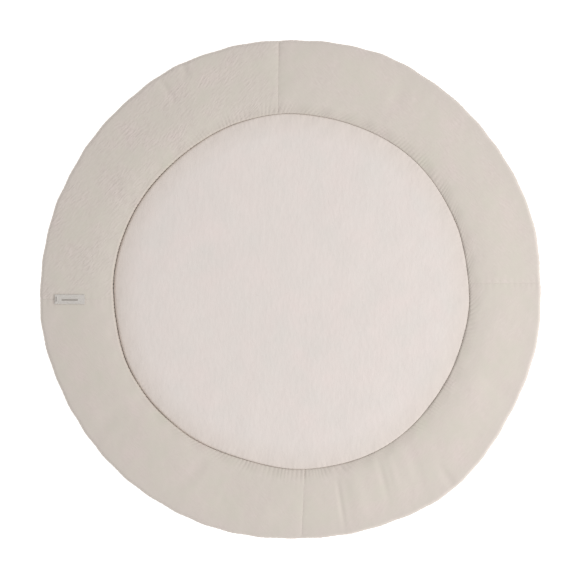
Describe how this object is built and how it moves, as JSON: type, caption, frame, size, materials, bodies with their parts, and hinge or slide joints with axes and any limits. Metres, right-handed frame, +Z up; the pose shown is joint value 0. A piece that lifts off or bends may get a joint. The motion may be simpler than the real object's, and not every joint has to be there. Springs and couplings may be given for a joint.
{
  "type": "playpen mat",
  "caption": "Round padded playpen mat: a soft plush disc inside a wide filled jersey border, with a small woven label.",
  "frame": {"origin": "on the floor plane under the middle of the mat's outline", "axes": "+Z up out of the mat's face, +X and +Y across it; the label lies on the -X side with its length along X"},
  "size_m": [1.1034, 1.0988, 0.0384],
  "materials": {
    "plush": "short-pile plush, matt",
    "jersey": "textured jersey knit, matt",
    "woven_label": "fine woven tape, matt"
  },
  "bodies": {
    "root": {"centre_pad": "plush", "border_panel_upper_right": "jersey", "border_panel_upper_left": "jersey", "border_panel_lower_left": "jersey", "border_panel_lower_right": "jersey", "label": "woven_label"}
  },
  "joints": []
}
